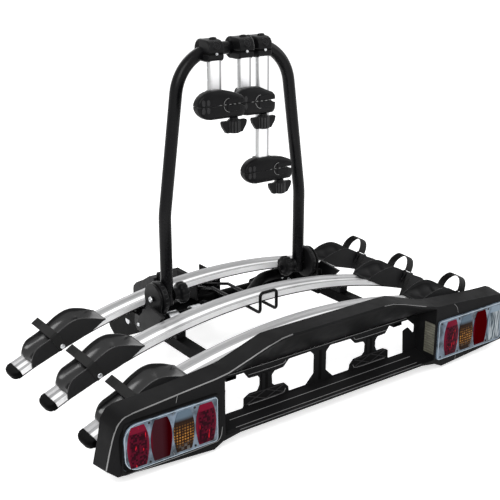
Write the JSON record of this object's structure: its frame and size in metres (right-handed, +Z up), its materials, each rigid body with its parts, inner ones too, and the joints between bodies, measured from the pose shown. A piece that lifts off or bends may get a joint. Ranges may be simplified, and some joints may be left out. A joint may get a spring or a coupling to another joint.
{
  "type": "bicycle carrier",
  "caption": "Towball bicycle carrier with bowed rails, wheel cups and straps, a folding hoop with holding arms, and a light board across the rear.",
  "frame": {"origin": "centre of the towball, in the coupling's socket", "axes": "+X across the car towards the right lamp, +Y towards the car, +Z up"},
  "size_m": [1.134, 0.8325, 0.764],
  "materials": {
    "black_steel": "powder coated, satin",
    "cast_black": "cast and painted black",
    "aluminium": "extruded, anodised",
    "black_plastic": "moulded, fine grain",
    "gloss_black_plastic": "moulded, glossy",
    "black_rubber": "soft, matt",
    "zinc": "zinc plated",
    "lamp_clear": "clear, bluish",
    "lens_red": "red, translucent",
    "lens_amber": "amber, translucent",
    "reflector": "dark red, prismatic"
  },
  "bodies": {
    "coupling": {"coupling_head": "cast_black", "coupling_frame": "black_steel", "pivot_tube": "black_steel", "coupling_bolts": "zinc"},
    "lock_jaw": {"ball_lock_jaw": "cast_black"},
    "lever": {"coupling_lever": "black_steel"},
    "platform": {"beam_left": "black_steel", "beam_right": "black_steel", "beam_extensions": "black_steel", "gusset_plates": "black_steel", "cross_tube": "black_steel", "tube_brackets": "zinc", "frame_bolts": "zinc", "rail_end_caps": "black_plastic", "rail_saddles": "black_plastic", "rail_1": "aluminium", "rail_2": "aluminium", "rail_3": "aluminium", "wheel_cup_left_1": "gloss_black_plastic", "wheel_cup_left_2": "gloss_black_plastic", "wheel_cup_left_3": "gloss_black_plastic", "wheel_cup_right_1": "gloss_black_plastic", "wheel_cup_right_2": "gloss_black_plastic", "wheel_cup_right_3": "gloss_black_plastic", "straps_left": "black_rubber", "straps_right": "black_rubber", "strap_buckles": "black_plastic", "strap_rivets": "zinc", "hinge_plate_left": "black_steel", "hinge_plate_right": "black_steel", "light_board": "black_plastic", "number_plate_grid": "black_plastic", "lamp_housings": "lamp_clear", "red_lenses": "lens_red", "amber_lenses": "lens_amber", "red_reflectors": "reflector", "clear_lens": "lamp_clear", "lamp_screws": "zinc", "handle_guide": "black_steel", "handle_spring": "zinc"},
    "handle": {"tilt_handle": "black_steel"},
    "hoop": {"hoop": "black_steel", "hinge_hubs": "black_plastic"},
    "knob_left": {"fold_knob_left": "black_plastic"},
    "knob_right": {"fold_knob_right": "black_plastic"},
    "arm_1": {"arm_clamp_1": "black_plastic", "arm_bar_1": "aluminium", "upper_jaw_1": "black_plastic"},
    "jaw_1": {"lower_jaw_1": "black_plastic"},
    "wing_1": {"wing_knob_1": "black_plastic"},
    "arm_2": {"arm_clamp_2": "black_plastic", "arm_bar_2": "aluminium", "upper_jaw_2": "black_plastic"},
    "jaw_2": {"lower_jaw_2": "black_plastic"},
    "wing_2": {"wing_knob_2": "black_plastic"},
    "arm_3": {"arm_clamp_3": "black_plastic", "arm_bar_3": "aluminium", "upper_jaw_3": "black_plastic"},
    "jaw_3": {"lower_jaw_3": "black_plastic"},
    "wing_3": {"wing_knob_3": "black_plastic"}
  },
  "joints": [
    {"name": "platform_tilt", "type": "hinge", "parent": "coupling", "child": "platform", "pos_m": [0, -0.23, 0.062], "axis": [1, 0, 0], "range_deg": [0, 38]},
    {"name": "coupling_lever_lift", "type": "hinge", "parent": "coupling", "child": "lever", "pos_m": [0.0483, -0.008, 0.042], "axis": [-1, 0, 0], "range_deg": [0, 70]},
    {"name": "lock_jaw_slide", "type": "slide", "parent": "coupling", "child": "lock_jaw", "axis": [0, -1, 0], "range_m": [0, 0.003]},
    {"name": "handle_pull", "type": "slide", "parent": "platform", "child": "handle", "axis": [0, -1, 0], "range_m": [0, 0.018], "stiffness_N_per_m": 400, "springref_m": -0.02, "deforming": ["handle_spring"]},
    {"name": "hoop_fold", "type": "hinge", "parent": "platform", "child": "hoop", "pos_m": [0, -0.365, 0.162], "axis": [1, 0, 0], "range_deg": [0, 65]},
    {"name": "fold_knob_left_turn", "type": "hinge", "parent": "hoop", "child": "knob_left", "pos_m": [-0.15, -0.365, 0.162], "axis": [-1, 0, 0], "continuous": true},
    {"name": "fold_knob_right_turn", "type": "hinge", "parent": "hoop", "child": "knob_right", "pos_m": [0.15, -0.365, 0.162], "axis": [1, 0, 0], "continuous": true},
    {"name": "arm_1_swing", "type": "hinge", "parent": "hoop", "child": "arm_1", "pos_m": [-0.044, -0.365, 0.719], "axis": [1, 0, 0], "range_deg": [-90, 0]},
    {"name": "jaw_1_open", "type": "hinge", "parent": "arm_1", "child": "jaw_1", "pos_m": [-0.064, -0.469, 0.6165], "axis": [0, -1, 0], "range_deg": [0, 25]},
    {"name": "wing_knob_1_turn", "type": "hinge", "parent": "jaw_1", "child": "wing_1", "pos_m": [-0.075, -0.469, 0.5715], "axis": [0, 0, 1], "continuous": true},
    {"name": "arm_2_swing", "type": "hinge", "parent": "hoop", "child": "arm_2", "pos_m": [0.0045, -0.365, 0.719], "axis": [1, 0, 0], "range_deg": [-90, 0]},
    {"name": "jaw_2_open", "type": "hinge", "parent": "arm_2", "child": "jaw_2", "pos_m": [0.043, -0.437, 0.608], "axis": [0, -1, 0], "range_deg": [0, 25]},
    {"name": "wing_knob_2_turn", "type": "hinge", "parent": "jaw_2", "child": "wing_2", "pos_m": [0.028, -0.437, 0.563], "axis": [0, 0, 1], "continuous": true},
    {"name": "arm_3_swing", "type": "hinge", "parent": "hoop", "child": "arm_3", "pos_m": [0.043, -0.365, 0.719], "axis": [1, 0, 0], "range_deg": [0, 270]},
    {"name": "jaw_3_open", "type": "hinge", "parent": "arm_3", "child": "jaw_3", "pos_m": [0.127, -0.396, 0.434], "axis": [0, -1, 0], "range_deg": [0, 25]},
    {"name": "wing_knob_3_turn", "type": "hinge", "parent": "jaw_3", "child": "wing_3", "pos_m": [0.109, -0.396, 0.389], "axis": [0, 0, 1], "continuous": true}
  ],
  "couplings": [
    {"joint": "lock_jaw_slide", "follows": "coupling_lever_lift", "m_per_rad": 0.002455}
  ]
}
